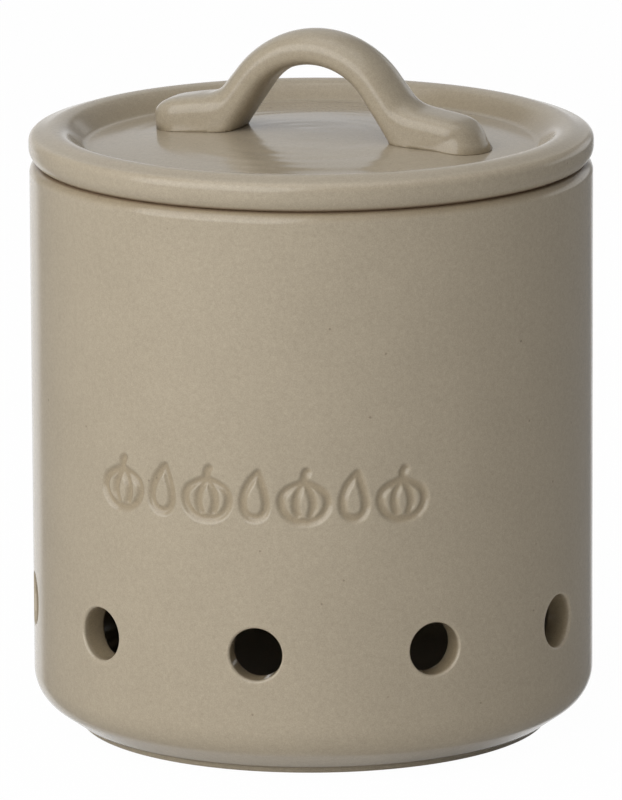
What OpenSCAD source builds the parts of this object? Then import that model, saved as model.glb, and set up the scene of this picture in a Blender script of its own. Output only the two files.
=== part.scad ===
// Lidded stoneware garlic keeper: a round jar with a ring of air holes near
// its base, and a dished drop-in lid with an arched, hand-pulled handle.
// Millimetres, +Z up. The origin is the centre of the ring that the jar
// stands on, and the front of the jar faces -Y.

/* [Jar] */
// Outer diameter of the jar
jar_d = 115; // [95:0.5:140]
// Height of the jar, up to the face that the lid rests on
jar_h = 117; // [90:0.5:145]
// Thickness of the jar's wall
wall = 5.8; // [5:0.1:8]
// Thickness of the jar's floor
floor_t = 5.8; // [4:0.1:9]
// Rounding where the outside of the wall turns in to the base
base_r = 8; // [5:0.5:11]
// Slope of the underside, from that rounding in to the foot, in degrees
base_slope = 35; // [25:1:45]
// Rounding where the inside of the wall meets the floor
hollow_r = 8; // [4:0.5:14]
// Rounding of the mouth's outer edge
lip_out_r = 2.3; // [1:0.1:2.6]
// Rounding of the mouth's inner edge
lip_in_r = 1.5; // [0.5:0.1:2]

/* [Foot ring] */
// Distance from the jar's side in to the foot ring's
foot_set = 9.3; // [8.6:0.1:15]
// Height of the foot ring's outer side
foot_h = 1.4; // [1:0.1:3]
// Width of the ring that touches the table
foot_w = 5; // [3:0.5:10]
// Rounding of the foot ring's edges
foot_r = 0.5; // [0.2:0.1:0.8]
// Width of the step between the foot ring and the underside
foot_step = 1.1; // [0.5:0.1:3]
// Depth of the recess inside the foot ring
recess_h = 1.4; // [0.5:0.1:2.5]

/* [Air holes] */
// Number of air holes around the jar
vent_n = 10; // [4:1:14]
// Diameter of an air hole
vent_d = 10.8; // [6:0.1:14]
// Height of the air holes' centres above the table
vent_z = 26.6; // [22:0.1:45]

/* [Lid] */
// How far the lid's side stands out past the jar's
lid_over = 0.15; // [0:0.05:1.5]
// Height of the lid's edge above the jar's mouth
edge_h = 6; // [5:0.1:9]
// How much higher the rim's crest stands than the lid's edge
crest_rise = 0.9; // [0.3:0.1:2]
// Distance from the lid's edge in to the rim's crest
crest_in = 5.1; // [4:0.1:9]
// Depth of the dish, from the rim's crest to the edge of its floor
dish_h = 3.75; // [2:0.05:5]
// Rise of the dish's floor from its edge to the middle
dish_dome = 2.2; // [0.3:0.1:3]
// Thickness of the lid under the edge of the dish's floor
plate_t = 4.6; // [3:0.1:7]

/* [Locating flange] */
// Depth of the flange that drops into the jar's mouth
flange_h = 8; // [5:0.5:15]
// Thickness of the flange
flange_t = 4.5; // [3:0.1:7]
// Clearance between the flange and the jar's mouth, all round
flange_gap = 1.2; // [0.5:0.1:2.5]

/* [Handle] */
// Height of the handle's top above the middle of the dish
handle_h = 21.3; // [17:0.1:30]
// Radius of the arch, at the middle of the clay
arch_r = 17.3; // [13:0.1:24]
// Slope of the legs, in degrees below horizontal
leg_slope = 54; // [45:1:75]
// Length of the straight part of a leg
leg_len = 5; // [1:0.1:10]
// Radius of the bend from leg to foot, at the middle of the clay
bend_r = 11; // [6:0.1:16]
// Slope at which a foot runs down into the lid, in degrees
foot_slope = 10; // [4:1:14]
// Length of a foot past the bend
handle_foot = 11.9; // [8:0.1:16]
// Thickness of the clay at the top of the arch
strap_t = 7.1; // [5:0.1:11]
// Thickness that the clay grows to at the feet
foot_t = 8.2; // [6:0.1:12]
// Width of the clay, across the arch
strap_w = 13.2; // [8:0.1:18]
// How deep the feet are sunk in the lid
foot_sunk = 2; // [1:0.1:2.5]
// How far the handle's middle lies from the lid's axis, along the arch
handle_along = 1; // [-3:0.1:3]
// How far the handle's middle lies from the lid's axis, across the arch
handle_across = 1.5; // [-3:0.1:3]

/* [Pose of the lid] */
// Turn of the lid on the jar, in degrees
lid_turn = -11; // [-180:1:180]

/* [Hidden] */
$fn = 180;
GLAZE = [0.66, 0.61, 0.53];
BORE_OVERRUN = 2;

// Degrees turned by each facet of a rounded edge
ARC_STEP = 9;

// Jar
jar_r = jar_d / 2;
mouth_r = jar_r - wall;
foot_out = jar_r - foot_set;
foot_in = foot_out - foot_w;
step_r = foot_out + foot_step;
floor_z = recess_h + floor_t;
// The base's rounding touches both the wall and the sloping underside
base_x = jar_r - base_r;
base_run = (base_x - step_r + base_r * sin(base_slope)) / cos(base_slope);
base_z = foot_h + base_run * sin(base_slope) + base_r * cos(base_slope);

// Lid, with heights above the face that rests on the jar
lid_r = jar_r + lid_over;
side_r = 4.9;              // lower curve of the lid's edge
side_z = 3.1;              // height of the widest place
edge_r = 1.8;              // upper rounding of the edge
crest_r = 6;               // rounding of the crest
crest_slope = 16;          // fall of the rim's top from crest to edge
dish_r = 6.6;              // rounding between the dish's side and floor
// Slope of the dish's side, eased where the dish is too shallow for both roundings
dish_slope = min(45, 0.995 * acos(1 - dish_h / (crest_r + dish_r)));
flange_edge_r = 1.5;
edge_x = lid_r - edge_r;
edge_z = edge_h - edge_r;
crest_x = lid_r - crest_in;
crest_z = edge_h + crest_rise - crest_r;
dish_floor_z = edge_h + crest_rise - dish_h;
// The dish's side touches the crest's rounding and the floor's
dish_drop = crest_z + dish_r * cos(dish_slope) + crest_r * cos(dish_slope)
          - dish_floor_z - dish_r;
dish_x = crest_x - (crest_r + dish_r) * sin(dish_slope) - dish_drop / tan(dish_slope);
dome_r = (dish_x * dish_x + dish_dome * dish_dome) / (2 * dish_dome);
dome_a = asin(dish_x / dome_r);
plate_z = dish_floor_z - plate_t;
// Rounding at the flange's root, which leaves room for the rounding of its end
flange_root_r = min(3, 0.9 * (plate_z + flange_h - flange_edge_r));
flange_out = mouth_r - flange_gap;
flange_in = flange_out - flange_t;

// Handle: distances along the middle of the clay, from the top of the arch
RING_STEP = 1.5;
RING_SIDES = 28;
TIP_RINGS = 6;
s_arch = arch_r * leg_slope * PI / 180;
s_leg = s_arch + leg_len;
s_bend = s_leg + bend_r * (leg_slope - foot_slope) * PI / 180;
s_tip = s_bend + handle_foot;
tip_len = strap_w / 2;
thicken_from = s_arch / 2;
FOOT_SQUARENESS = 0.6;     // 0 keeps the feet's undersides oval
TIP_SQUARENESS = 2.6;      // 2 closes the feet's tops in with a circle
dish_middle = jar_h + dish_floor_z + dish_dome;
arch_mid = dish_middle + handle_h - strap_t / 2;
leg_start = [arch_r * sin(leg_slope), arch_r * (cos(leg_slope) - 1)];
leg_end = leg_start + leg_len * [cos(leg_slope), -sin(leg_slope)];
bend_mid = leg_end + bend_r * [sin(leg_slope), cos(leg_slope)];
bend_end = bend_mid - bend_r * [sin(foot_slope), cos(foot_slope)];

// Points along an arc about [x, z], from angle a0 to angle a1
function arc(x, z, r, a0, a1) =
    let (n = max(2, ceil(abs(a1 - a0) / ARC_STEP)))
    [for (i = [0:n]) let (a = a0 + (a1 - a0) * i / n) [x + r * cos(a), z + r * sin(a)]];

// Where the middle of the handle's clay is at distance s from the top, and
// which way it slopes there
function strap_point(s) =
    s < s_arch ? let (a = s / arch_r * 180 / PI) arch_r * [sin(a), cos(a) - 1]
    : s < s_leg ? leg_start + (s - s_arch) * [cos(leg_slope), -sin(leg_slope)]
    : s < s_bend ? let (a = strap_slope(s)) bend_mid - bend_r * [sin(a), cos(a)]
    : bend_end + (s - s_bend) * [cos(foot_slope), -sin(foot_slope)];
function strap_slope(s) =
    s < s_arch ? s / arch_r * 180 / PI
    : s < s_leg ? leg_slope
    : s < s_bend ? leg_slope - (s - s_leg) / bend_r * 180 / PI
    : foot_slope;

// Rises smoothly from 0 to 1 as t does
function ease(t) = let (u = min(max(t, 0), 1)) u * u * (3 - 2 * u);
// How far the clay has closed in towards a foot's round tip
function tip_close(s, squareness = 2) =
    let (u = max(s - s_tip + tip_len, 0) / tip_len) pow(1 - pow(u, squareness), 1 / squareness);
function half_t(s) =
    (strap_t + (foot_t - strap_t) * ease((s - thicken_from) / (s_bend - thicken_from))) / 2;
function half_w(s) = tip_close(s) * strap_w / 2;
// Depth of the clay below its middle. Past the straight of a leg the underside
// runs straight on, which fills the heel, down into the lid.
function under(s) =
    let (turned = max(leg_slope - strap_slope(s), 0),
         heel = (half_t(s) + bend_r * (1 - cos(turned))) / cos(turned),
         reach = (arch_mid + strap_point(s).y - dish_middle + foot_sunk) / cos(strap_slope(s)))
    min(s < s_leg ? half_t(s) : heel, reach);

// Keeps the sign of v, and raises its size to a power
function signed_pow(v, power) = sign(v) * pow(abs(v), power);

// One section of the handle, on the side given by 1 or -1: oval, and squarer
// below at the feet, so that their sides stand straight on the lid
function strap_ring(s, side) =
    let (p = strap_point(s), a = strap_slope(s), w = half_w(s),
         over = half_t(s) * tip_close(s, TIP_SQUARENESS), below = under(s),
         power = 1 - FOOT_SQUARENESS * ease((s - s_leg) / (s_bend - s_leg)))
    [for (i = [0:RING_SIDES - 1])
        let (q = 360 * i / RING_SIDES, k = cos(q) < 0 ? power : 1,
             up = signed_pow(cos(q), k) * (cos(q) < 0 ? below : over))
        [side * (p.x + up * sin(a)), w * signed_pow(sin(q), k), p.y + up * cos(a)]];

// Sections from the top of the arch to a foot's tip
function stations() = let (n = ceil((s_tip - tip_len) / RING_STEP)) concat(
    [for (i = [1:n]) (s_tip - tip_len) * i / n],
    [for (i = [1:TIP_RINGS]) s_tip - tip_len + tip_len * sin(84 * i / TIP_RINGS)]);

module jar_profile() {
    polygon(concat(
        arc(foot_in + foot_r, foot_r, foot_r, 180, 270),
        arc(foot_out - foot_r, foot_r, foot_r, -90, 0),
        [[foot_out, foot_h], [step_r, foot_h]],
        arc(base_x, base_z, base_r, base_slope - 90, 0),
        arc(jar_r - lip_out_r, jar_h - lip_out_r, lip_out_r, 0, 90),
        arc(mouth_r + lip_in_r, jar_h - lip_in_r, lip_in_r, 90, 180),
        arc(mouth_r - hollow_r, floor_z + hollow_r, hollow_r, 0, -90),
        [[0, floor_z], [0, recess_h], [foot_in, recess_h]]));
}

// An air hole at the front
module vent() {
    translate([0, -jar_r - BORE_OVERRUN, vent_z]) rotate([-90, 0, 0])
        cylinder(d = vent_d, h = wall + 2 * BORE_OVERRUN);
}

module jar() {
    color(GLAZE)
    difference() {
        rotate_extrude() jar_profile();
        for (i = [0:vent_n - 1]) rotate([0, 0, i * 360 / vent_n]) vent();
    }
}

module lid_profile() {
    polygon(concat(
        arc(lid_r - side_r, side_z, side_r, -asin(side_z / side_r), 0),
        arc(edge_x, edge_z, edge_r, 0, 90 - crest_slope),
        arc(crest_x, crest_z, crest_r, 90 - crest_slope, 90 + dish_slope),
        arc(dish_x, dish_floor_z + dish_r, dish_r, dish_slope - 90, -90),
        [for (i = [1:5]) let (a = dome_a * (1 - i / 5))
            [dome_r * sin(a), dish_floor_z + dish_dome - dome_r * (1 - cos(a))]],
        [[0, plate_z]],
        arc(flange_in - flange_root_r, plate_z - flange_root_r, flange_root_r, 90, 0),
        arc(flange_in + flange_edge_r, -flange_h + flange_edge_r, flange_edge_r, 180, 270),
        arc(flange_out - flange_edge_r, -flange_h + flange_edge_r, flange_edge_r, -90, 0),
        [[flange_out, 0]]));
}

module lid() {
    color(GLAZE)
    translate([0, 0, jar_h]) rotate_extrude() lid_profile();
}

// The arch and both feet, before they are pressed onto the lid
module strap() {
    half = stations();
    n = len(half);
    rings = concat(
        [for (i = [n - 1:-1:0]) strap_ring(half[i], -1)],
        [strap_ring(0, 1)],
        [for (i = [0:n - 1]) strap_ring(half[i], 1)]);
    points = [for (ring = rings) each ring];
    last = len(rings) - 1;
    sides = [for (k = [0:last - 1]) for (i = [0:RING_SIDES - 1])
        let (a = k * RING_SIDES + i, b = k * RING_SIDES + (i + 1) % RING_SIDES)
        each [[a, b, b + RING_SIDES], [a, b + RING_SIDES, a + RING_SIDES]]];
    ends = [
        [for (i = [RING_SIDES - 1:-1:0]) i],
        [for (i = [0:RING_SIDES - 1]) last * RING_SIDES + i]];
    polyhedron(points, concat(sides, ends));
}

module handle() {
    color(GLAZE)
    difference() {
        rotate([0, 0, lid_turn]) translate([handle_along, handle_across, arch_mid]) strap();
        lid();
    }
}

jar();
lid();
handle();
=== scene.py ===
"""The looks of a lidded stoneware garlic keeper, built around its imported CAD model.

The jar, its dished lid and the lid's arched handle are rebuilt here as fine
meshes with the softness of glazed clay, at the places and sizes of the CAD
parts, and get a satin glaze. Everything is in metres, +Z up, front to -Y.
"""

import math

import bmesh
import bpy
import numpy as np
from bpy.props import FloatProperty, FloatVectorProperty, IntProperty, PointerProperty
from mathutils import Matrix, Vector


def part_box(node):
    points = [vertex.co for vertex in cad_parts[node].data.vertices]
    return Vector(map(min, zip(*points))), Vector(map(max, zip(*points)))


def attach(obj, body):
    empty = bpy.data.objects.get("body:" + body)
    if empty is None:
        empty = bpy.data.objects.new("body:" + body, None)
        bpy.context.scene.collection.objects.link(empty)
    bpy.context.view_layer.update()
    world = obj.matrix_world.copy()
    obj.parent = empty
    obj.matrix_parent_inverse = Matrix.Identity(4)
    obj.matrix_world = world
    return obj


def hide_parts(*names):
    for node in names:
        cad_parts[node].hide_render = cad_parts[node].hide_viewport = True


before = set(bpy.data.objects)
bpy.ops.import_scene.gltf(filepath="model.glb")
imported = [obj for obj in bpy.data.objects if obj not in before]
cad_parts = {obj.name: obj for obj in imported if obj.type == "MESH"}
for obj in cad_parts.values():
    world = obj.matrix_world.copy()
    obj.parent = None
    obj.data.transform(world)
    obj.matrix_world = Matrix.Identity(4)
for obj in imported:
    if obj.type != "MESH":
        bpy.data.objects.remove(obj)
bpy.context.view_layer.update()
JAR_LOW, JAR_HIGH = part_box("jar")
LID_LOW, LID_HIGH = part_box("lid")
HANDLE_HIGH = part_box("handle")[1]

bl_info = {
    "name": "Garlic Keeper",
    "version": (1, 0, 0),
    "blender": (4, 5, 0),
    "location": "View3D > Sidebar > Keeper",
    "description": "Builds a glazed stoneware garlic keeper with a dished lid",
    "category": "Object",
}

MM = 0.001
# Columns of faces round the jar and the lid, which are about 1 mm wide on the wall
COLUMNS = 360
# Points nearer to each other than this become one
WELD = 1e-6


# ---------------------------------------------------------------- settings


def length(label, about, default):
    """A length in metres that a user can change."""
    return FloatProperty(
        name=label,
        description=about,
        default=default,
        min=0.0,
        precision=5,
        subtype="DISTANCE",
        unit="LENGTH",
    )


def angle(label, about, degrees):
    """An angle that a user can change."""
    return FloatProperty(
        name=label,
        description=about,
        default=math.radians(degrees),
        subtype="ANGLE",
        unit="ROTATION",
    )


def number(label, about, default, top=1.0):
    """A plain number from 0 to top."""
    return FloatProperty(name=label, description=about, default=default, min=0.0, max=top)


def colour(label, about, default):
    """A colour in linear values that a user can change."""
    return FloatVectorProperty(
        name=label,
        description=about,
        default=default,
        size=3,
        min=0.0,
        max=1.0,
        subtype="COLOR",
    )


class JarSizes(bpy.types.PropertyGroup):
    """Sizes of the jar."""

    wall: length("Wall", "Thickness of the wall", 5.8 * MM)
    floor: length("Floor", "Thickness of the floor", 5.8 * MM)
    base_round: length("Base rounding", "Rounding from the wall in to the base", 8 * MM)
    base_slope: angle("Base slope", "Slope of the underside", 35)
    hollow_round: length("Hollow rounding", "Rounding inside, from wall to floor", 8 * MM)
    lip_outer: length("Outer lip", "Rounding of the mouth's outer edge", 2.3 * MM)
    lip_inner: length("Inner lip", "Rounding of the mouth's inner edge", 1.5 * MM)
    foot: length("Foot", "Outer radius of the foot ring", 48.2 * MM)
    foot_height: length("Foot height", "Height of the foot ring", 1.4 * MM)
    foot_width: length("Foot width", "Width of the foot ring", 5 * MM)
    foot_round: length("Foot rounding", "Rounding of the foot ring", 0.5 * MM)
    foot_step: length("Foot step", "Step from the foot ring to the underside", 1.1 * MM)
    vents: IntProperty(name="Air holes", description="Number of air holes", default=10, min=1)
    vent: length("Air hole", "Radius of an air hole", 5.4 * MM)
    vent_height: length("Air hole height", "Height of the air holes' centres", 26.6 * MM)
    vent_round: length("Air hole edge", "Rounding of an air hole's outer edge", 0.6 * MM)
    vent_inner_round: length("Air hole inner edge", "Rounding of its inner edge", 0.8 * MM)
    print_height: length("Print height", "Height of the impressed row's middle", 59 * MM)
    print_depth: length("Print depth", "Depth of the impressed lines", 0.6 * MM)
    print_line: length("Print line", "Width of the impressed lines", 1.9 * MM)


class LidSizes(bpy.types.PropertyGroup):
    """Sizes of the lid, with heights above the face that rests on the jar."""

    edge: length("Edge", "Height of the lid's edge", 6 * MM)
    edge_round: length("Edge rounding", "Upper rounding of the edge", 1.8 * MM)
    side_round: length("Side rounding", "Lower curve of the edge", 3.6 * MM)
    side: length("Widest place", "Height of the lid's widest place", 3.1 * MM)
    crest_rise: length("Crest rise", "Height of the crest over the edge", 0.9 * MM)
    crest_in: length("Crest inset", "Distance from the edge in to the crest", 5.1 * MM)
    crest_round: length("Crest rounding", "Rounding of the crest", 5 * MM)
    crest_fall: angle("Crest fall", "Fall of the rim's top to the edge", 16)
    dish: length("Dish", "Depth of the dish at the edge of its floor", 3.75 * MM)
    dome: length("Dome", "Rise of the dish's floor to its middle", 2.2 * MM)
    dish_round: length("Dish rounding", "Rounding from the dish's side to its floor", 2 * MM)
    dish_slope: angle("Dish slope", "Slope of the dish's side", 40)
    plate: length("Plate", "Thickness of the lid under the dish", 4.6 * MM)
    flange_depth: length("Flange depth", "Depth of the locating flange", 8 * MM)
    flange: length("Flange", "Thickness of the locating flange", 4.5 * MM)
    flange_gap: length("Flange gap", "Clearance in the jar's mouth", 1.2 * MM)
    flange_edge: length("Flange edge", "Rounding of the flange's edges", 1.5 * MM)
    flange_root: length("Flange root", "Rounding at the flange's root", 3 * MM)
    ripple: length("Ripple", "Height of the throwing rings in the dish's floor", 0.09 * MM)


class HandleSizes(bpy.types.PropertyGroup):
    """Sizes of the handle, along the middle of its clay."""

    turn: angle("Turn", "Turn of the handle about the lid's axis", -11)
    along: length("Along", "Distance of the handle from the lid's axis, along the arch", 1 * MM)
    across: length("Across", "Distance of the handle from the lid's axis, across it", 1.5 * MM)
    arch: length("Arch", "Radius of the arch", 17.3 * MM)
    leg_slope: angle("Leg slope", "Slope of the legs", 54)
    leg: length("Leg", "Length of a leg's straight part", 5 * MM)
    bend: length("Bend", "Radius of the bend from leg to foot", 11 * MM)
    foot_slope: angle("Foot slope", "Slope of the feet", 10)
    foot: length("Foot", "Length of a foot past the bend", 11.9 * MM)
    top_clay: length("Top clay", "Thickness at the top of the arch", 7.1 * MM)
    foot_clay: length("Foot clay", "Thickness at the feet", 8.2 * MM)
    width: length("Width", "Width across the arch", 13.2 * MM)
    sunk: length("Sunk", "Depth of the feet below the middle of the dish", 4.5 * MM)
    square_below: number("Square below", "How square the feet are below", 0.6)
    square_arch: number("Square arch", "How square the arch is below", 0.35)
    square_above: number("Square above", "How square the feet are above", 0.38)
    square_tip: number("Square tip", "How fully the feet keep their height to the tip", 2.3, 6.0)
    joint_round: length("Joint rounding", "Glaze rounding where a foot meets the lid", 0.15 * MM)
    tip_round: length("Tip rounding", "Rounding at the right foot's tip", 2.2 * MM)
    left_lift: length("Left lift", "How much higher the left foot is than the right", 0.45 * MM)


class GlazeLook(bpy.types.PropertyGroup):
    """The glaze and the clay under it, with the colours that paint shade at the lid's edge and in
    the air holes.
    """

    body: colour("Glaze", "Colour of the glaze", (0.405, 0.345, 0.255))
    thin: colour("Thin glaze", "Colour where the glaze breaks over an edge", (0.47, 0.40, 0.30))
    # Also the colour of painted shade in the bores of the air holes
    pooled: colour("Pooled glaze", "Colour where the glaze pools", (0.29, 0.222, 0.13))
    # Painted shade: the dark line where the lid's edge shades the top of the jar's lip
    seam: colour("Seam", "Colour of the dark clay in the seam", (0.21, 0.145, 0.09))
    speck: colour("Specks", "Colour of the fine specks", (0.16, 0.12, 0.08))
    clay: colour("Bare clay", "Colour of the unglazed clay", (0.52, 0.43, 0.33))
    roughness: number("Roughness", "Roughness of the glaze", 0.21)
    smooth: number("Smooth roughness", "Roughness of the glaze where it is smoothest", 0.15)
    clay_rough: number("Clay roughness", "Roughness of the unglazed clay", 0.85)
    mottle: number("Mottling", "Strength of the fine mottling", 0.16)


class StageLook(bpy.types.PropertyGroup):
    """The light, and what the glaze mirrors of the studio."""

    key: number("Key light", "Power of the large light, in watts", 20.3, 100.0)
    top: number("Top light", "Power of the light above, in watts", 5.0, 100.0)
    ambient: number("Ambient", "Light from all round", 0.2)
    backdrop: number("Backdrop", "Brightness of the backdrop in reflections", 0.62)
    sweep: number("Sweep", "Brightness of the sweep behind the object in reflections", 1.0)
    table: number("Table", "Brightness of the table under the object in reflections", 0.55)
    room: number("Room", "Brightness of the dark side in reflections", 0.25)
    card: number("Card", "Brightness of a low card at the right in reflections", 1.0)


class KeeperSettings(bpy.types.PropertyGroup):
    """All settings of the garlic keeper."""

    jar: PointerProperty(type=JarSizes)
    lid: PointerProperty(type=LidSizes)
    handle: PointerProperty(type=HandleSizes)
    glaze: PointerProperty(type=GlazeLook)
    stage: PointerProperty(type=StageLook)


# ------------------------------------------------------------------ shapes


def arc(x, z, radius, start, end, steps):
    """Points (radius, height) on an arc about (x, z), in even steps between two angles."""
    turns = np.linspace(start, end, steps + 1)
    return [(x + radius * math.cos(t), z + radius * math.sin(t)) for t in turns]


def line(start, end, step):
    """Points between two others, without those two, at most a step apart."""
    count = math.ceil(math.dist(start, end) / step)
    shares = np.arange(1, count) / count
    return [tuple(np.array(start) * (1 - s) + np.array(end) * s) for s in shares]


def outline(pieces, step):
    """Joins arcs into one outline, with evenly spaced points on the straights between them."""
    points = list(pieces[0])
    for piece in pieces[1:]:
        points += line(points[-1], piece[0], step)
        points += piece
    return np.array(points)


# How many waves are laid over each other in hand-finished clay
WAVES = 24
# The shortest and longest waves of the thrown pieces and of the pulled handle, and their heights
THROWN_WAVES, THROWN_HEIGHT = (14 * MM, 50 * MM), 0.03 * MM
PULLED_WAVES, PULLED_HEIGHT = (10 * MM, 34 * MM), 0.06 * MM


def clay_waves(points, lengths, seed):
    """A smooth random value from -1 to 0 at each point, like hand-finished clay."""
    random = np.random.default_rng(seed)
    total = np.zeros(len(points))
    for _ in range(WAVES):
        direction = random.normal(size=3)
        direction *= 2 * math.pi / (np.linalg.norm(direction) * random.uniform(*lengths))
        total += np.sin(points @ direction + random.uniform(0, 2 * math.pi))
    return np.clip(total / math.sqrt(WAVES) / 2, -1, 1) / 2 - 0.5


def rise(value, low, high):
    """Goes smoothly from 0 at low to 1 at high."""
    t = np.clip((value - low) / (high - low), 0, 1)
    return t * t * (3 - 2 * t)


def bell(value, middle, width):
    """Is 1 at the middle and falls smoothly to nearly 0 at twice the width from it."""
    return np.exp(-(((value - middle) / width) ** 2))


class Shell:
    """Collects patches of quads whose shared borders are welded at the end."""

    def __init__(self):
        self.points = []
        self.faces = []
        self.count = 0

    def grid(self, block, ring=False, skip=None):
        """Adds rows of points as quads. A ring joins its last column to its first."""
        rows, columns = block.shape[:2]
        across = columns if ring else columns - 1
        for i in range(rows - 1):
            for j in range(across):
                if skip is not None and skip(i, j):
                    continue
                a = self.count + i * columns + j
                b = self.count + i * columns + (j + 1) % columns
                self.faces.append((a, b, b + columns, a + columns))
        self.points.append(block.reshape(-1, 3))
        self.count += rows * columns

    def bmesh(self):
        """The welded mesh, with its faces pointing outwards."""
        mesh = bpy.data.meshes.new("shell")
        mesh.from_pydata(np.concatenate(self.points).tolist(), [], self.faces)
        made = bmesh.new()
        made.from_mesh(mesh)
        bpy.data.meshes.remove(mesh)
        bmesh.ops.remove_doubles(made, verts=made.verts, dist=WELD)
        loose = [v for v in made.verts if not v.link_faces]
        bmesh.ops.delete(made, geom=loose, context="VERTS")
        bmesh.ops.recalc_face_normals(made, faces=made.faces)
        if made.calc_volume(signed=True) < 0:
            bmesh.ops.reverse_faces(made, faces=made.faces)
        return made


def column_turn(column):
    """Angle round the axis from the front to a column of the jar's or lid's points."""
    return column * 2 * math.pi / COLUMNS


def turned(profile):
    """The rows of points that a profile (radius, height) sweeps round the axis."""
    turns = column_turn(np.arange(COLUMNS)) - math.pi / 2
    radius, height = profile[:, :1], profile[:, 1:]
    return np.stack(
        [radius * np.cos(turns), radius * np.sin(turns), np.repeat(height, COLUMNS, 1)], -1
    )


def as_mesh(made, name):
    """Turns a bmesh into a mesh with smooth shading."""
    mesh = bpy.data.meshes.new(name)
    made.to_mesh(mesh)
    made.free()
    mesh.polygons.foreach_set("use_smooth", np.ones(len(mesh.polygons), bool))
    return mesh


def read_vectors(items, field):
    """One vector of each item, as the rows of an array."""
    values = np.empty(len(items) * 3, np.float32)
    items.foreach_get(field, values)
    return values.reshape(-1, 3).astype(float)


def read_points(mesh):
    """The mesh's vertices as an array."""
    return read_vectors(mesh.vertices, "co")


def read_normals(mesh):
    """The directions in which the mesh's vertices face, as an array."""
    return read_vectors(mesh.vertex_normals, "vector")


def from_axis(points):
    """Distance of each point from the axis."""
    return np.hypot(points[:, 0], points[:, 1])


def write_points(mesh, points):
    """Moves the mesh's vertices to these points."""
    mesh.vertices.foreach_set("co", np.asarray(points, np.float32).ravel())
    mesh.update()


# What is painted on each vertex, from 0 to 1: where the glaze is thin; where it pools, which also
# carries painted shade in the air holes' bores and a darker band on the jar's lip; where it is
# wiped off the bare clay; where painted shade darkens the line at which the lid meets the jar; and
# where it is smoothest
COATS = ("thin", "pooled", "bare", "seam", "smooth")


def paint(mesh, **coats):
    """Keeps a number of each coat per vertex for the material to read, 0 where none is given."""
    for name in COATS:
        values = np.broadcast_to(coats.get(name, 0.0), len(mesh.vertices))
        layer = mesh.attributes.new(name, "FLOAT", "POINT")
        layer.data.foreach_set("value", np.clip(values, 0, 1).astype(np.float32))


def as_piece(mesh, body, node, look):
    """Glazes a finished mesh and puts it in the scene in place of a CAD node."""
    piece = bpy.data.objects.new(mesh.name, mesh)
    bpy.context.scene.collection.objects.link(piece)
    mesh.materials.append(glaze_material(node + "_glaze", look))
    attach(piece, body)
    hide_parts(node)


# --------------------------------------------------------------------- jar

# Half the side of the square of wall around an air hole, in rows and columns of the wall
VENT_HALF = 9
# Air holes that were punched a little aside of their even places, in columns of the wall
VENT_SHIFTS = {1: 1, 9: -1}
# Steps of an air hole's rings: over the square of wall, the outer edge, the bore and the inner edge
WALL_STEPS, EDGE_STEPS, BORE_STEPS, INNER_STEPS = 6, 8, 5, 5
# Points no deeper than this below the jar's outer radius are on its wall
SKIN = 0.1 * MM
# Rounding in the corner between the foot ring and the underside
STEP_FILLET = 0.4 * MM


def jar_outline(sizes, radius, height):
    """The jar's profile from the middle of its underside, over the mouth, to the middle of
    its floor, with even rows by the air holes."""
    mouth = radius - sizes.wall
    foot_in = sizes.foot - sizes.foot_width
    foot_z = sizes.foot_height
    step = sizes.foot + sizes.foot_step
    floor = foot_z + sizes.floor
    slope = sizes.base_slope
    base_x = radius - sizes.base_round
    run = (base_x - step + sizes.base_round * math.sin(slope)) / math.cos(slope)
    base_z = foot_z + run * math.sin(slope) + sizes.base_round * math.cos(slope)
    right = math.pi / 2
    edge, fillet, hollow = sizes.foot_round, STEP_FILLET, sizes.hollow_round
    outer, inner = sizes.lip_outer, sizes.lip_inner
    low, high = vent_rows(sizes)
    band = [low + i * MM for i in range(round((high - low) / MM) + 1)]
    outer_band = [(radius, z) for z in band]
    inner_band = [(mouth, z) for z in reversed(band)]
    return outline(
        [
            [(0, foot_z)],
            arc(foot_in - edge, foot_z - edge, edge, right, 0, 4),
            arc(foot_in + edge, edge, edge, math.pi, 1.5 * math.pi, 5),
            arc(sizes.foot - edge, edge, edge, -right, 0, 5),
            arc(sizes.foot + fillet, foot_z - fillet, fillet, math.pi, right, 4),
            [(step, foot_z)],
            arc(base_x, base_z, sizes.base_round, slope - right, 0, 16),
            outer_band,
            arc(radius - outer, height - outer, outer, 0, right, 10),
            arc(mouth + inner, height - inner, inner, right, math.pi, 8),
            inner_band,
            arc(mouth - hollow, floor + hollow, hollow, 0, -right, 12),
            [(0, floor)],
        ],
        MM,
    )


def vent_rows(sizes):
    """The lowest and highest rows of the square of wall around an air hole."""
    half = VENT_HALF * MM
    return sizes.vent_height - half, sizes.vent_height + half


def vent_columns(sizes):
    """The columns of the wall that hold the air holes' centres."""
    return [i * COLUMNS // sizes.vents + VENT_SHIFTS.get(i, 0) for i in range(sizes.vents)]


def vent_border():
    """Points around the square of wall that holds an air hole: their angles from the hole's
    centre and their heights from it."""
    side = np.arange(-VENT_HALF, VENT_HALF)
    end = np.full(2 * VENT_HALF, VENT_HALF)
    across = np.concatenate([side, end, -side, -end])
    up = np.concatenate([-end, side, end, -side])
    return column_turn(across), up * MM


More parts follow.
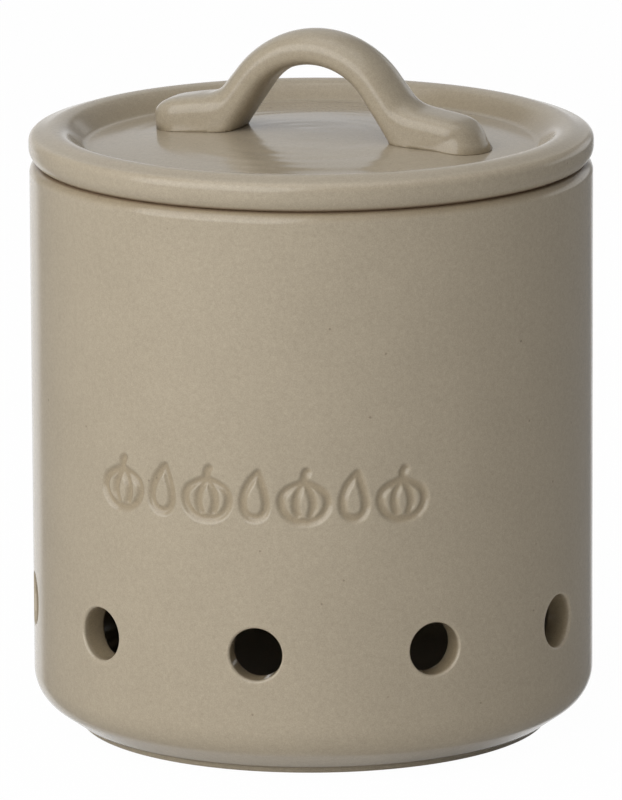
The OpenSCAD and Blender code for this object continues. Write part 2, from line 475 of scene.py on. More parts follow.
def vent_patch(sizes, radius, mouth):
    """The rings of wall from the border outside, through an air hole, to the border inside,
    for the hole that faces the front."""
    turn, up = vent_border()
    around = np.arctan2(up, radius * np.sin(turn))

    def on_wall(wall, reach, part):
        """A ring on a wall of this radius, part of the way from the hole's edge to the border."""
        edge_turn = np.arcsin(reach * np.cos(around) / wall)
        at = edge_turn + (turn - edge_turn) * part
        height = reach * np.sin(around) + (up - reach * np.sin(around)) * part
        return np.stack([wall * np.sin(at), -wall * np.cos(at), height], -1)

    def in_bore(wall, reach, sunk):
        """A ring at this distance from the hole's axis, sunk below a wall."""
        across = reach * np.cos(around)
        deep = sunk - np.sqrt(wall**2 - across**2)
        return np.stack([across, deep, reach * np.sin(around)], -1)

    lip, inner = sizes.vent_round, sizes.vent_inner_round
    spread = np.linspace(1, 0, WALL_STEPS + 1)
    rings = [on_wall(radius, sizes.vent + lip, part) for part in spread]
    for t in np.linspace(0, math.pi / 2, EDGE_STEPS + 1)[1:]:
        reach = sizes.vent + lip * (1 - math.sin(t))
        rings.append(in_bore(radius, reach, lip * (1 - math.cos(t))))
    first = rings[-1]
    last = in_bore(mouth, sizes.vent, -inner)
    rings += [first + (last - first) * t for t in np.linspace(0, 1, BORE_STEPS + 1)[1:-1]]
    for t in np.linspace(0, math.pi / 2, INNER_STEPS + 1):
        reach = sizes.vent + inner * (1 - math.cos(t))
        rings.append(in_bore(mouth, reach, -inner * (1 - math.sin(t))))
    rings += [on_wall(mouth, sizes.vent + inner, part) for part in spread[::-1][1:]]
    return np.array(rings) + np.array([0, 0, sizes.vent_height])


def curve(points):
    """A chain of Bezier stretches through points[0], [3], [6] and so on."""
    t = np.linspace(0, 1, CURVE_STEPS + 1)[:, None]
    parts = []
    for i in range(0, len(points) - 1, 3):
        a, b, c, d = np.array(points[i : i + 4], float)
        parts.append(
            (1 - t) ** 3 * a + 3 * (1 - t) ** 2 * t * b + 3 * (1 - t) * t**2 * c + t**3 * d
        )
    return np.concatenate(parts)


def mirrored(points):
    """The same points on the other side of the upright through the middle."""
    return [(-x, y) for x, y in points]


# Straight pieces in each stretch of a motif's line
CURVE_STEPS = 14
# Lines of the impressed motifs, in millimetres from each motif's middle
BULB_SIDE = [
    (0, 3.5), (-0.9, 2.3), (-4.9, 2.3), (-4.7, -1.0), (-4.5, -3.6), (-2.2, -5.0), (0, -4.8),
]
BULB_CLOVE = [(0, 2.9), (-1.5, 1.6), (-2.4, -1.2), (-1.3, -3.6)]
BULB_STEM = [(0.5, 5.4), (0.1, 4.8), (0, 4.2), (0, 3.2)]
CLOVE = [
    (0.7, 4.9), (-1.2, 3.2), (-2.9, 0.4), (-2.3, -2.3), (-1.8, -4.7), (1.4, -4.9), (2.1, -2.8),
    (2.8, -0.6), (1.5, 2.4), (0.7, 4.9),
]
BULB = [BULB_SIDE, mirrored(BULB_SIDE), BULB_CLOVE, mirrored(BULB_CLOVE), BULB_STEM]
# Middles of the bulbs and cloves along the wall, and how far a motif reaches from its middle
BULB_PLACES = (-30.1, -10.05, 10.05, 30.1)
CLOVE_PLACES = (-20.1, 0.0, 20.1)
MOTIF_REACH = 9
# The part of the wall with a finer mesh for the motifs: degrees to each side of the front,
# millimetres above and below the row's middle, and cuts through each millimetre
PRINT_HALF_ANGLE = 38
PRINT_HALF_HEIGHT = 8
PRINT_CUTS = 3
# Where a line's flat bottom ends and where its shoulder meets the wall, as parts of half its width
LINE_FLAT, LINE_SHOULDER = 0.25, 1.3


def distance_to(points, chain):
    """Distance from each point to the nearest place on a chain of straight pieces."""
    best = np.full(len(points), np.inf)
    for a, b in zip(chain[:-1], chain[1:]):
        along = b - a
        squared = float(along @ along)
        # Where two stretches meet, their shared point comes twice
        if squared == 0:
            continue
        t = np.clip((points - a) @ along / squared, 0, 1)
        best = np.minimum(best, np.linalg.norm(points - a - t[:, None] * along, axis=1))
    return best


def print_distance(flat):
    """Distance in millimetres from each point of the unrolled wall to the nearest line."""
    best = np.full(len(flat), np.inf)
    motifs = [(x, BULB) for x in BULB_PLACES] + [(x, [CLOVE]) for x in CLOVE_PLACES]
    for x, lines in motifs:
        near = np.abs(flat[:, 0] - x) < MOTIF_REACH
        local = flat[near] - np.array([x, 0])
        reach = np.min([distance_to(local, curve(points)) for points in lines], axis=0)
        best[near] = np.minimum(best[near], reach)
    return best


# How much the glaze pools in the motifs, how much painted shade darkens the bores of the air holes,
# how much darker the mouth's lip is, how much the glaze thins on the edges of the air holes, and
# how smooth it is on the jar
LINE_POOL, BORE_SHADE, LIP_DARK = 0.5, 0.7, 0.6
VENT_THIN = 0.4
JAR_SMOOTH = 0.7


class KEEPER_OT_jar(bpy.types.Operator):
    """Build the jar with its air holes, foot ring and impressed row of bulbs"""

    bl_idname = "keeper.build_jar"
    bl_label = "Jar"

    def execute(self, context):
        settings = context.scene.keeper
        sizes = settings.jar
        radius = (JAR_HIGH.x - JAR_LOW.x) / 2
        height = JAR_HIGH.z
        mouth = radius - sizes.wall
        profile = jar_outline(sizes, radius, height)
        low, high = vent_rows(sizes)
        columns = vent_columns(sizes)
        beside = {(c + i) % COLUMNS for c in columns for i in range(-VENT_HALF, VENT_HALF)}

        def in_vent_square(i, j):
            """Whether the face in this row and column makes way for an air hole."""
            middle = (profile[i] + profile[i + 1]) / 2
            return j in beside and low < middle[1] < high and middle[0] > mouth - WELD

        shell = Shell()
        shell.grid(turned(profile), ring=True, skip=in_vent_square)
        patch = vent_patch(sizes, radius, mouth)
        for column in columns:
            spin = np.array(Matrix.Rotation(column_turn(column), 3, "Z"))
            shell.grid(patch @ spin.T, ring=True)
        made = shell.bmesh()
        self.refine_print(made, sizes, radius)
        mesh = as_mesh(made, "glazed_jar")
        self.shape_clay(mesh, sizes, radius, height)
        as_piece(mesh, "jar", "jar", settings.glaze)
        return {"FINISHED"}

    def refine_print(self, made, sizes, radius):
        """Splits the wall under the impressed row into quarter-millimetre squares."""
        half_turn = math.radians(PRINT_HALF_ANGLE)
        half = PRINT_HALF_HEIGHT * MM
        faces = []
        for face in made.faces:
            middle = face.calc_center_median()
            out = math.hypot(middle.x, middle.y)
            if (
                out > radius - SKIN
                and abs(middle.z - sizes.print_height) < half
                and abs(math.atan2(middle.x, -middle.y)) < half_turn
            ):
                faces.append(face)
        edges = list({edge for face in faces for edge in face.edges})
        bmesh.ops.subdivide_edges(made, edges=edges, cuts=PRINT_CUTS, use_grid_fill=True)

    def shape_clay(self, mesh, sizes, radius, height):
        """Presses the row of bulbs in, softens the wall and paints the coats of glaze, with painted
        shade in the air holes' bores and on the top of the lip under the lid.
        """
        mouth = radius - sizes.wall
        points = read_points(mesh)
        up = points[:, 2]
        out = from_axis(points)
        on_wall = (out > radius - SKIN) & (up > vent_rows(sizes)[0])
        turn = np.arctan2(points[:, 0], -points[:, 1])
        flat = np.stack([turn * radius, up - sizes.print_height], 1) / MM
        reach = np.full(len(points), np.inf)
        near = on_wall & (np.abs(flat[:, 1]) < PRINT_HALF_HEIGHT)
        near &= np.abs(turn) < math.radians(PRINT_HALF_ANGLE)
        reach[near] = print_distance(flat[near])
        half_line = sizes.print_line / 2 / MM
        groove = 1 - rise(reach, LINE_FLAT * half_line, LINE_SHOULDER * half_line)
        wave = clay_waves(points, THROWN_WAVES, seed=3) * THROWN_HEIGHT
        push = np.where(on_wall, radius - out, 0) + wave * rise(up, 0, 5 * MM)
        push -= groove * sizes.print_depth
        outward = points[:, :2] / np.maximum(out, WELD)[:, None]
        outside = rise(out, mouth + MM, radius - MM)
        points[:, :2] += outward * (push * outside)[:, None]
        write_points(mesh, points)
        foot_in = sizes.foot - sizes.foot_width
        in_foot = (out > foot_in - 0.2 * MM) & (out < sizes.foot)
        in_wall = rise(radius - out, 0.2 * MM, 1.2 * MM) * rise(out - mouth, 0, 0.5 * MM)
        by_vents = np.abs(up - sizes.vent_height) < sizes.vent + 0.2 * MM
        # A darker, browner band on the mouth's lip, just below the lid
        lip = rise(up, height - 2 * MM, height - 0.5 * MM)
        # Painted shade in the bores of the air holes, in the colour where the glaze pools
        pools_and_shade = [LINE_POOL * groove, BORE_SHADE * in_wall * by_vents, LIP_DARK * lip]
        paint(
            mesh,
            thin=self.thin_places(points, sizes, radius, out),
            pooled=np.maximum.reduce(pools_and_shade),
            bare=in_foot * (1 - rise(up, 0.1 * MM, 0.25 * MM)),
            # Painted shade on the top of the lip, where the lid's edge shades it
            seam=rise(up, height - 0.5 * MM, height - 0.1 * MM),
            smooth=JAR_SMOOTH,
        )

    def thin_places(self, points, sizes, radius, out):
        """How much the glaze thins on the outer edges of the air holes."""
        turn = np.arctan2(points[:, 0], -points[:, 1])
        edge = np.zeros(len(points))
        for column in vent_columns(sizes):
            beside = np.cos(turn - column_turn(column))
            across = np.sqrt(1 - np.clip(beside, 0, 1) ** 2)
            reach = np.hypot(out * across, points[:, 2] - sizes.vent_height)
            edge = np.maximum(edge, bell(reach, sizes.vent, width=0.8 * MM))
        return VENT_THIN * edge * rise(out, radius - 1.6 * MM, radius - 0.4 * MM)


# --------------------------------------------------------------------- lid

# Points of the profile on the dish's floor
FLOOR_STEPS = 110
# The shortest and longest waves of the shallow rings that throwing left in the dish, and how
# much the rings change on their way round
RING_WAVES = (3 * MM, 9 * MM)
RING_CHANGE = 3.6 * MM
# Where the rings set in and where they fade, from the middle outwards
RINGS_IN, RINGS_OUT = (0, 6 * MM), (36 * MM, 44 * MM)
# How much the glaze thins on the crest and the edge, and pools at the side of the dish
CREST_THIN, EDGE_THIN = 0.6, 0.7
DISH_POOL = 0.35


class LidShape:
    """Places of the lid that its outline and the handle share."""

    def __init__(self, sizes, mouth):
        self.sizes = sizes
        self.radius = (LID_HIGH.x - LID_LOW.x) / 2
        self.seat = JAR_HIGH.z
        self.crest_x = self.radius - sizes.crest_in
        self.crest_z = sizes.edge + sizes.crest_rise - sizes.crest_round
        self.floor_z = sizes.edge + sizes.crest_rise - sizes.dish
        slope = sizes.dish_slope
        rounds = sizes.dish_round + sizes.crest_round
        drop = self.crest_z + rounds * math.cos(slope) - self.floor_z - sizes.dish_round
        self.dish_x = self.crest_x - rounds * math.sin(slope) - drop / math.tan(slope)
        self.dome_r = (self.dish_x**2 + sizes.dome**2) / (2 * sizes.dome)
        self.flange_out = mouth - sizes.flange_gap
        self.flange_in = self.flange_out - sizes.flange

    def dome(self, out):
        """Height of the dish's floor above the seat, at a distance from the axis."""
        inside = np.minimum(out, self.dish_x)
        top = self.floor_z + self.sizes.dome - self.dome_r
        return top + np.sqrt(self.dome_r**2 - inside**2)

    def ripple(self, x, y):
        """Sinking of the dish's floor by the throwing rings."""
        out, turn = np.hypot(x, y), np.arctan2(y, x)
        places = np.stack([out, RING_CHANGE * np.cos(turn), RING_CHANGE * np.sin(turn)], 1)
        wave = clay_waves(places, RING_WAVES, seed=11)
        inside = rise(out, *RINGS_IN) * (1 - rise(out, *RINGS_OUT))
        return wave * inside * self.sizes.ripple

    def profile(self):
        """The lid's profile from the middle of the dish, over the rim, to the middle below."""
        sizes = self.sizes
        right = math.pi / 2
        slope, fall = sizes.dish_slope, sizes.crest_fall
        edge_x = self.radius - sizes.edge_round
        edge_z = sizes.edge - sizes.edge_round
        side_x = self.radius - sizes.side_round
        lowest = -math.asin(sizes.side / sizes.side_round)
        under = self.floor_z - sizes.plate
        root, lip = sizes.flange_root, sizes.flange_edge
        bottom = -sizes.flange_depth
        places = self.dish_x * np.arange(FLOOR_STEPS) / FLOOR_STEPS
        corner, crest = sizes.dish_round, sizes.crest_round
        return outline(
            [
                zip(places, self.dome(places)),
                arc(self.dish_x, self.floor_z + corner, corner, -right, slope - right, 14),
                arc(self.crest_x, self.crest_z, crest, right + slope, right - fall, 12),
                arc(edge_x, edge_z, sizes.edge_round, right - fall, 0, 14),
                arc(side_x, sizes.side, sizes.side_round, 0, lowest, 12),
                [(self.flange_out, 0)],
                arc(self.flange_out - lip, bottom + lip, lip, 0, -right, 6),
                arc(self.flange_in + lip, bottom + lip, lip, 1.5 * math.pi, math.pi, 6),
                arc(self.flange_in - root, under - root, root, 0, right, 6),
                [(0, under)],
            ],
            MM,
        ) + np.array([0, self.seat])


def lid_shape(settings):
    """The lid's shape for the jar's mouth."""
    mouth = (JAR_HIGH.x - JAR_LOW.x) / 2 - settings.jar.wall
    return LidShape(settings.lid, mouth)


class KEEPER_OT_lid(bpy.types.Operator):
    """Build the dished lid with its rolled rim and locating flange"""

    bl_idname = "keeper.build_lid"
    bl_label = "Lid"

    def execute(self, context):
        settings = context.scene.keeper
        shape = lid_shape(settings)
        shell = Shell()
        shell.grid(turned(shape.profile()), ring=True)
        mesh = as_mesh(shell.bmesh(), "glazed_lid")
        self.shape_clay(mesh, shape)
        as_piece(mesh, "lid", "lid", settings.glaze)
        return {"FINISHED"}

    def shape_clay(self, mesh, shape):
        """Ripples the dish, softens the rim, paints the coats of glaze and paints shade on the
        lid's lowest edge.
        """
        points = read_points(mesh)
        out = from_axis(points)
        over = points[:, 2] - shape.seat
        wave = clay_waves(points, THROWN_WAVES, seed=5) * THROWN_HEIGHT
        points += read_normals(mesh) * (wave * rise(over, 0, MM))[:, None]
        on_top = over > MM
        in_dish = on_top & (out < shape.dish_x + 3 * MM)
        points[:, 2] += np.where(in_dish, shape.ripple(points[:, 0], points[:, 1]), 0)
        write_points(mesh, points)
        crest = bell(out, shape.crest_x, width=2 * MM) * (over > 4 * MM)
        edge = bell(over, shape.sizes.edge, width=0.9 * MM)
        edge *= rise(out, shape.radius - 2 * MM, shape.radius - MM)
        corner = bell(out, shape.dish_x + 2 * MM, width=2.2 * MM) * on_top
        # Painted shade on the lid's lowest edge, just above where it rests on the jar
        seam = (1 - rise(over, 0.1 * MM, 0.8 * MM)) * (out > shape.flange_out + MM)
        bottom = -shape.sizes.flange_depth
        flange_end = 1 - rise(over, bottom + MM, bottom + 1.3 * MM)
        seat = (out > shape.flange_out - 0.3 * MM) & (out < shape.radius - 2.5 * MM)
        rest = seat * (over > -2 * MM) * (1 - rise(over, 0.1 * MM, 0.3 * MM))
        paint(
            mesh,
            thin=np.maximum(CREST_THIN * crest, EDGE_THIN * edge),
            pooled=DISH_POOL * corner,
            bare=np.maximum(flange_end, rest),
            seam=seam,
            smooth=(1 - rise(out, shape.crest_x, shape.radius - MM)) * on_top,
        )


# ------------------------------------------------------------------ handle

# Points round a section, distance between sections along the arch, and sections in a foot's tip
STRAP_SIDES = 96
STRAP_STEP = 0.45 * MM
TIP_RINGS = 16
# Distances from the arch's middle over which the right tip's rounding and the left lift set in
TIP_FADE, LIFT_FADE = (29 * MM, 35 * MM), (18 * MM, 26 * MM)
# Power that shapes the flare of the feet: 1 makes it straight, and more makes it hollow
FLARE = 1.7
# The least share of a normal that lies flat, for its direction to count in full
LEAST_FLAT = 0.05
# Depth to which the feet reach into the lid
BEDDED = 0.03 * MM
# How much the glaze pools where the feet meet the lid
FOOT_POOL = 0.4


def down_slope(slope):
    """One step down a slope, as (out, up)."""
    return np.array([math.cos(slope), -math.sin(slope)])


def off_slope(slope):
    """One step square off a slope and upwards, as (out, up)."""
    return np.array([math.sin(slope), math.cos(slope)])


class StrapPath:
    """The middle of the handle's clay, by distance from the top of the arch."""

    def __init__(self, sizes):
        self.sizes = sizes
        slope, foot_slope = sizes.leg_slope, sizes.foot_slope
        self.arch_end = sizes.arch * slope
        self.leg_end = self.arch_end + sizes.leg
        self.bend_end = self.leg_end + sizes.bend * (slope - foot_slope)
        self.tip = self.bend_end + sizes.foot
        self.tip_length = sizes.width / 2
        self.leg_start = sizes.arch * (off_slope(slope) - off_slope(0))
        bend_start = self.leg_start + sizes.leg * down_slope(slope)
        self.bend_mid = bend_start + sizes.bend * off_slope(slope)
        self.foot_start = self.bend_mid - sizes.bend * off_slope(foot_slope)

    def slope(self, s):
        """How steeply the clay runs down at a distance."""
        sizes = self.sizes
        if s < self.arch_end:
            return s / sizes.arch
        if s < self.leg_end:
            return sizes.leg_slope
        if s < self.bend_end:
            return sizes.leg_slope - (s - self.leg_end) / sizes.bend
        return sizes.foot_slope

    def place(self, s):
        """The clay's middle at a distance: (out, up) from the top of the arch."""
        slope = self.slope(s)
        if s < self.arch_end:
            return self.sizes.arch * (off_slope(slope) - off_slope(0))
        if s < self.leg_end:
            return self.leg_start + (s - self.arch_end) * down_slope(slope)
        if s < self.bend_end:
            return self.bend_mid - self.sizes.bend * off_slope(slope)
        return self.foot_start + (s - self.bend_end) * down_slope(slope)

    def close(self, s, squareness=2):
        """How wide open the clay is: 1 up to a foot's round tip, and 0 at the tip's end."""
        u = min(max(s - self.tip + self.tip_length, 0) / self.tip_length, 1)
        return (1 - u**squareness) ** (1 / squareness)

    def half_thickness(self, s):
        """Half the clay's thickness at a distance."""
        sizes = self.sizes
        grown = float(rise(s, self.arch_end / 2, self.bend_end))
        return (sizes.top_clay + (sizes.foot_clay - sizes.top_clay) * grown) / 2

    def depth(self, s, room):
        """Depth of the clay below its middle. Past a leg's straight part the underside runs
        straight on, which fills the heel, down to as far as there is room below the arch."""
        sizes = self.sizes
        slope = self.slope(s)
        full = self.half_thickness(s)
        if s > self.leg_end:
            turned_by = sizes.leg_slope - slope
            full = (full + sizes.bend * (1 - math.cos(turned_by))) / math.cos(turned_by)
        return min(full, (room + self.place(s)[1]) / math.cos(slope))

    def section(self, s, turns, room):
        """The clay's section at a distance, as (across, up) from its middle: oval at the arch
        and squarer at the feet."""
        sizes = self.sizes
        foot = float(rise(s, self.leg_end, self.bend_end))
        cos, sin = np.cos(turns), np.sin(turns)
        below = sizes.square_arch + (sizes.square_below - sizes.square_arch) * foot
        power = 1 - np.where(cos < 0, below, sizes.square_above * foot)
        over = self.half_thickness(s) * self.close(s, sizes.square_tip)
        up = np.sign(cos) * np.abs(cos) ** power * np.where(cos < 0, self.depth(s, room), over)
        across = self.close(s) * sizes.width / 2 * np.sign(sin) * np.abs(sin) ** power
        return across, up


class KEEPER_OT_handle(bpy.types.Operator):
    """Build the arched handle and bed its feet in the lid"""

    bl_idname = "keeper.build_handle"
    bl_label = "Handle"

    def execute(self, context):
        settings = context.scene.keeper
        sizes = settings.handle
        shape = lid_shape(settings)
        middle = HANDLE_HIGH.z - sizes.top_clay / 2
        room = middle - shape.seat - shape.floor_z - settings.lid.dome + sizes.sunk
        shell = Shell()
        shell.grid(self.rings(StrapPath(sizes), room), ring=True)
        mesh = as_mesh(shell.bmesh(), "glazed_handle")
        write_points(mesh, read_points(mesh) + np.array([sizes.along, sizes.across, middle]))
        self.bed_feet(mesh, sizes, shape)
        turn = np.array(Matrix.Rotation(sizes.turn, 3, "Z"))
        write_points(mesh, read_points(mesh) @ turn.T)
        as_piece(mesh, "lid", "handle", settings.glaze)
        return {"FINISHED"}

    def rings(self, path, room):
        """Sections from one foot's tip over the arch to the other's."""
        body = path.tip - path.tip_length
        count = math.ceil(body / STRAP_STEP)
        half = [body * i / count for i in range(1, count + 1)]
        ends = np.linspace(0, math.pi / 2, TIP_RINGS + 1)[1:]
        half += [body + path.tip_length * math.sin(t) for t in ends]
        stations = [(s, -1) for s in reversed(half)] + [(0, 1)] + [(s, 1) for s in half]
        turns = np.arange(STRAP_SIDES) * 2 * math.pi / STRAP_SIDES
        rings = []
        for s, side in stations:
            across, lift = path.section(s, turns, room)
            out, up = path.place(s)[:, None] + lift * off_slope(path.slope(s))[:, None]
            rings.append(np.stack([side * out, across, up], -1))
        return np.array(rings)

    def bed_feet(self, mesh, sizes, shape):
        """Flares the feet into the lid with a rounding of glaze, lifts the left one and trims
        what is below the lid's face."""
        points = read_points(mesh)
        normals = read_normals(mesh)
        wave = clay_waves(points, PULLED_WAVES, seed=8) * PULLED_HEIGHT
        points += normals * wave[:, None]
        over = points[:, 2] - self.dish_floor(points, shape)
        flat = normals[:, :2]
        flat = flat / np.maximum(np.linalg.norm(flat, axis=1), LEAST_FLAT)[:, None]
        at_tip = rise(points[:, 0], *TIP_FADE)
        fillet = sizes.joint_round + (sizes.tip_round - sizes.joint_round) * at_tip
        flare = fillet * np.clip(1 - over / (2 * fillet), 0, 1) ** FLARE
        points[:, :2] += flat * flare[:, None]
        floor = self.dish_floor(points, shape)
        lift = rise(-points[:, 0], *LIFT_FADE) * rise(over, 0.5 * MM, 4 * MM)
        points[:, 2] += lift * sizes.left_lift
        points[:, 2] = np.maximum(points[:, 2], floor - BEDDED)
        write_points(mesh, points)
        over = points[:, 2] - floor
        paint(mesh, pooled=FOOT_POOL * (1 - rise(over, 0.1 * MM, 0.9 * MM)))

    def dish_floor(self, points, shape):
        """Height of the lid's dish under each point."""
        return shape.seat + shape.dome(from_axis(points))


# --------------------------------------------------------------- materials


class Signal:
    """One output of a shader graph, for use in Python arithmetic."""

    def __init__(self, graph, socket):
        self.graph = graph
        self.socket = socket

    def _math(self, operation, first, second):
        return self.graph.node("ShaderNodeMath", {"operation": operation}, {0: first, 1: second})

    def __add__(self, other):
        return self._math("ADD", self, other)

    __radd__ = __add__

    def __sub__(self, other):
        return self._math("SUBTRACT", self, other)

    def __rsub__(self, other):
        return self._math("SUBTRACT", other, self)

    def __mul__(self, other):
        return self._math("MULTIPLY", self, other)

    __rmul__ = __mul__


class Graph:
    """A node tree that is written as Python calls."""

    # Sockets of a Mix node that mixes colours
    MIX_FACTOR, MIX_A, MIX_B, MIX_RESULT = 0, 6, 7, 2

    def __init__(self, owner):
        owner.use_nodes = True
        self.tree = owner.node_tree
        self.tree.nodes.clear()

    def node(self, kind, settings=None, inputs=None, output=0):
        """Adds a node, sets its settings and then its sockets, and returns one of its outputs."""
        made = self.tree.nodes.new(kind)
        for name, value in (settings or {}).items():
            setattr(made, name, value)
        for name, value in (inputs or {}).items():
            if isinstance(value, Signal):
                self.tree.links.new(value.socket, made.inputs[name])
            else:
                made.inputs[name].default_value = value
        return Signal(self, made.outputs[output]) if made.outputs else made

    def step(self, value, low, high):
        """Goes smoothly from 0 at low to 1 at high."""
        return self.node(
            "ShaderNodeMapRange",
            {"interpolation_type": "SMOOTHSTEP"},
            {"Value": value, "From Min": low, "From Max": high},
        )

    def mix(self, factor, first, second):
        """Mixes two colours, each a link or three numbers."""
        values = [c if isinstance(c, Signal) else (*c, 1.0) for c in (first, second)]
        return self.node(
            "ShaderNodeMix",
            {"data_type": "RGBA"},
            {self.MIX_FACTOR: factor, self.MIX_A: values[0], self.MIX_B: values[1]},
            self.MIX_RESULT,
        )

    def band(self, value, start, end):
        """Is 1 between two fades, each given as (low, high), and 0 outside them."""
        return self.step(value, *start) * (1 - self.step(value, *end))

    def noise(self, place, size, detail=2.0):
        """Noise of about this size, in metres, from 0 to 1."""
        inputs = {"Vector": place, "Scale": 1 / size, "Detail": detail}
        return self.node("ShaderNodeTexNoise", {}, inputs, "Fac")

    def painted(self, name):
        """A number kept on the mesh's vertices."""
        return self.node("ShaderNodeAttribute", {"attribute_name": name}, output="Fac")

    def ray(self, kind):
        """Is 1 for rays of this kind, such as those from the camera, and 0 for others."""
        return self.node("ShaderNodeLightPath", output=f"Is {kind} Ray")

    def split(self, vector):
        """The three parts of a vector."""
        parts = self.node("ShaderNodeSeparateXYZ", {}, {0: vector})
        return [Signal(self, socket) for socket in parts.socket.node.outputs]


# Sizes of the glaze's mottling, from the finest to the broadest, and of the cells that hold a
# speck each
GRAIN, FINE, CLOUD, SPECK_CELL = 0.25 * MM, 0.9 * MM, 16 * MM, 7 * MM
# Where a speck ends, as parts of its cell, how ragged it is and how much it darkens the glaze
SPECK_EDGE, SPECK_RAGGED, SPECK_STRENGTH = (0.05, 0.075), 0.06, 0.5
# How much the fine, cloudy and grainy noise tells in the glaze's tone, height and roughness
TONE_MIX = (1.3, 0.6, 2.4)
HEIGHT_MIX = (0.6, 1.5, 0.25)
ROUGH_MIX = (0.06, 0.08)
# Height of the bare clay's grain, tone of its darker sand, and where in the grain it sets in
CLAY_GRAIN, CLAY_DARK, CLAY_SAND = 4, 0.82, (0.35, 0.65)
# Depth of the glaze's dimples and how much of it shows
DIMPLE, DIMPLE_STRENGTH = 0.02 * MM, 0.35
GLAZE_IOR = 1.5


def weighed(noises, weights):
    """The noises' sum by their weights, each counted from its middle."""
    return sum((noise - 0.5) * weight for noise, weight in zip(noises, weights))


def glaze_material(name, look):
    """Satin glaze over stoneware, with bare clay where the piece was wiped for firing."""
    material = bpy.data.materials.new(name)
    graph = Graph(material)
    place = graph.node("ShaderNodeTexCoord", output="Object")
    fine = graph.noise(place, FINE)
    cloud = graph.noise(place, CLOUD)
    grain = graph.noise(place, GRAIN, 1.0)
    noises = (fine, cloud, grain)
    cells = graph.node(
        "ShaderNodeTexVoronoi", {}, {"Vector": place, "Scale": 1 / SPECK_CELL}, "Distance"
    )
    thin, pooled, bare, seam, smooth = (graph.painted(name) for name in COATS)
    speck = 1 - graph.step(cells + fine * SPECK_RAGGED, *SPECK_EDGE)
    shade = graph.mix(thin, look.body, look.thin)
    # Also painted shade in the bores of the air holes
    shade = graph.mix(pooled, shade, look.pooled)
    # Painted shade along the line where the lid meets the jar
    shade = graph.mix(seam, shade, look.seam)
    tone = 1 + weighed(noises, TONE_MIX) * look.mottle
    shade = graph.node(
        "ShaderNodeVectorMath", {"operation": "SCALE"}, {"Vector": shade, "Scale": tone}
    )
    shade = graph.mix(speck * SPECK_STRENGTH, shade, look.speck)
    dark_clay = [CLAY_DARK * c for c in look.clay]
    sand = graph.mix(graph.step(grain, *CLAY_SAND), look.clay, dark_clay)
    height = weighed(noises, HEIGHT_MIX) + bare * grain * CLAY_GRAIN
    dimple = graph.node(
        "ShaderNodeBump",
        {},
        {"Strength": DIMPLE_STRENGTH, "Distance": DIMPLE, "Height": height},
    )
    rough = look.roughness + weighed(noises, ROUGH_MIX)
    rough += smooth * (look.smooth - look.roughness)
    rough += bare * (look.clay_rough - look.roughness)
    surface = graph.node(
        "ShaderNodeBsdfPrincipled",
        {},
        {
            "Base Color": graph.mix(bare, shade, sand),
            "Roughness": rough,
            "Normal": dimple,
            "IOR": GLAZE_IOR,
        },
    )
    graph.node("ShaderNodeOutputMaterial", {}, {"Surface": surface})
    return material


# ------------------------------------------------------------------- stage

# The photograph's camera, with its lens in millimetres and its distance in metres
CAMERA_AZIMUTH = math.radians(11.72)
CAMERA_HEIGHT = math.radians(12.41)
CAMERA_ROLL = math.radians(0.26)
CAMERA_DISTANCE = 2.024
CAMERA_LENS = 444.15
CAMERA_SHIFT = -0.0016
CAMERA_TARGET = Vector((0, 0, 66.5 * MM))

# Distance of the lamps from the camera's target, and half the floor's width
LAMP_DISTANCE = 1.4
FLOOR_HALF = 4.0
# The floor's own colour, and how much plain white lies over it for the camera
FLOOR_COLOUR = (0.92, 0.92, 0.92, 1)
FLOOR_WHITE = 0.985
WHITE = (1, 1, 1, 1)
# Where the mirrored sweep and card fade in and out: bearings in degrees from straight behind the
# object, and heights as the upright part of the direction
SWEEP_LEFT, SWEEP_RIGHT = (-34, -26), (9, 17)
SWEEP_TOP, TABLE_EDGE = (0.02, 0.16), (-0.6, -0.3)
CARD_LEFT, CARD_RIGHT = (16, 24), (64, 74)
CARD_LOW, CARD_HIGH = (-0.02, 0.02), (0.25, 0.35)


def direction(azimuth, height):
    """A unit vector from the object; azimuth 0 is the front and turns to the right."""
    return Vector(
        (
            math.sin(azimuth) * math.cos(height),
            -math.cos(azimuth) * math.cos(height),
            math.sin(height),
        )
    )


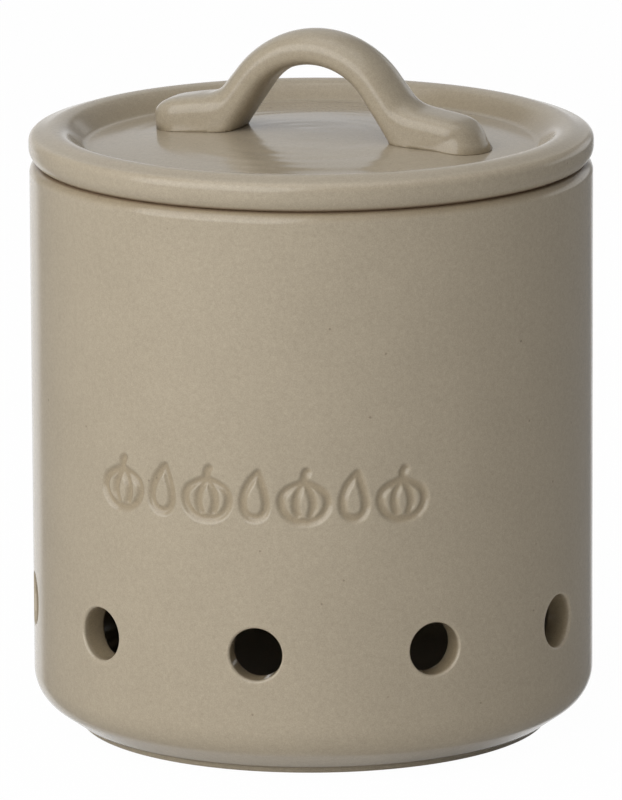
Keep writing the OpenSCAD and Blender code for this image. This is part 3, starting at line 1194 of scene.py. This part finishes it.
class KEEPER_OT_stage(bpy.types.Operator):
    """Set up the floor, the backdrop, the lamps and the camera"""

    bl_idname = "keeper.build_stage"
    bl_label = "Stage"

    def execute(self, context):
        look = context.scene.keeper.stage
        self.camera(context.scene)
        self.floor()
        self.world(context.scene, look)
        self.lamp("key_light", look.key, size=(1.8, 1.7), azimuth=-30, height=27)
        self.lamp("top_light", look.top, size=(1.4, 1.4), azimuth=0, height=85)
        context.scene.view_settings.view_transform = "Standard"
        return {"FINISHED"}

    def camera(self, scene):
        """The photograph's viewing angle."""
        data = bpy.data.cameras.new("camera")
        data.lens = CAMERA_LENS
        data.shift_x = CAMERA_SHIFT
        camera = bpy.data.objects.new("camera", data)
        scene.collection.objects.link(camera)
        away = direction(CAMERA_AZIMUTH, CAMERA_HEIGHT)
        camera.location = CAMERA_TARGET + away * CAMERA_DISTANCE
        aim = (-away).to_track_quat("-Z", "Y").to_matrix().to_4x4()
        camera.rotation_euler = (aim @ Matrix.Rotation(-CAMERA_ROLL, 4, "Z")).to_euler()
        scene.camera = camera

    def floor(self):
        """A pale floor that the camera sees white, apart from a soft shadow, and that the
        glaze doesn't mirror."""
        mesh = bpy.data.meshes.new("floor")
        half = FLOOR_HALF
        corners = [(-half, -half, 0), (half, -half, 0), (half, half, 0), (-half, half, 0)]
        mesh.from_pydata(corners, [], [(0, 1, 2, 3)])
        floor = bpy.data.objects.new("floor", mesh)
        bpy.context.scene.collection.objects.link(floor)
        material = bpy.data.materials.new("floor")
        graph = Graph(material)
        pale = graph.node("ShaderNodeBsdfDiffuse", {}, {"Color": FLOOR_COLOUR})
        white = graph.node("ShaderNodeEmission", {}, {"Color": WHITE})
        clear = graph.node("ShaderNodeBsdfTransparent")
        seen = graph.ray("Camera") * FLOOR_WHITE
        shown = graph.node("ShaderNodeMixShader", {}, {0: seen, 1: pale, 2: white})
        glossy = graph.ray("Glossy")
        surface = graph.node("ShaderNodeMixShader", {}, {0: glossy, 1: shown, 2: clear})
        graph.node("ShaderNodeOutputMaterial", {}, {"Surface": surface})
        mesh.materials.append(material)

    def world(self, scene, look):
        """White to the camera, plain soft light on the object, and in its gloss a backdrop
        that sweeps down into a table, a card at the right and a dark room."""
        world = bpy.data.worlds.new("studio")
        scene.world = world
        graph = Graph(world)
        way = graph.node("ShaderNodeTexCoord", output="Generated")
        across, along, upright = graph.split(way)
        turn = graph.node("ShaderNodeMath", {"operation": "ARCTAN2"}, {0: across, 1: along})
        bearing = (turn + CAMERA_AZIMUTH) * math.degrees(1)
        low = 1 - graph.step(upright, *SWEEP_TOP)
        steep = 1 - graph.step(upright, *TABLE_EDGE)
        low_light = look.sweep - steep * (look.sweep - look.table)
        sheet = look.backdrop + low * (low_light - look.backdrop)
        behind = graph.band(bearing, SWEEP_LEFT, SWEEP_RIGHT)
        beside = graph.band(bearing, CARD_LEFT, CARD_RIGHT)
        beside *= graph.band(upright, CARD_LOW, CARD_HIGH)
        mirrored_light = look.room + behind * (sheet - look.room)
        mirrored_light += beside * (look.card - look.room)
        seen, glossy = graph.ray("Camera"), graph.ray("Glossy")
        strength = glossy * mirrored_light + (1 - glossy) * look.ambient
        strength = seen + (1 - seen) * strength
        light = graph.node("ShaderNodeBackground", {}, {"Color": WHITE, "Strength": strength})
        graph.node("ShaderNodeOutputWorld", {}, {"Surface": light})

    def lamp(self, name, power, size, azimuth, height):
        """A soft rectangular light that faces the object."""
        data = bpy.data.lights.new(name, "AREA")
        data.shape = "RECTANGLE"
        data.size, data.size_y = size
        data.energy = power
        lamp = bpy.data.objects.new(name, data)
        bpy.context.scene.collection.objects.link(lamp)
        away = direction(math.radians(azimuth), math.radians(height))
        lamp.location = CAMERA_TARGET + away * LAMP_DISTANCE
        lamp.rotation_euler = (-away).to_track_quat("-Z", "Y").to_euler()


# ------------------------------------------------------------------- panel


class KEEPER_PT_parts(bpy.types.Panel):
    """Lists what can be built"""

    bl_idname = "KEEPER_PT_parts"
    bl_label = "Garlic Keeper"
    bl_space_type = "VIEW_3D"
    bl_region_type = "UI"
    bl_category = "Keeper"

    def draw(self, context):
        for operator in OPERATORS:
            self.layout.operator(operator.bl_idname)


OPERATORS = (KEEPER_OT_stage, KEEPER_OT_jar, KEEPER_OT_lid, KEEPER_OT_handle)
GROUPS = (JarSizes, LidSizes, HandleSizes, GlazeLook, StageLook, KeeperSettings)
CLASSES = (*GROUPS, *OPERATORS, KEEPER_PT_parts)


def register():
    """Makes the settings, operators and panel known to Blender."""
    for item in CLASSES:
        bpy.utils.register_class(item)
    bpy.types.Scene.keeper = PointerProperty(type=KeeperSettings)


def unregister():
    """Undoes register."""
    del bpy.types.Scene.keeper
    for item in reversed(CLASSES):
        bpy.utils.unregister_class(item)


def main():
    """Builds everything."""
    register()
    bpy.ops.keeper.build_stage()
    bpy.ops.keeper.build_jar()
    bpy.ops.keeper.build_lid()
    bpy.ops.keeper.build_handle()


if __name__ == "__main__":
    main()
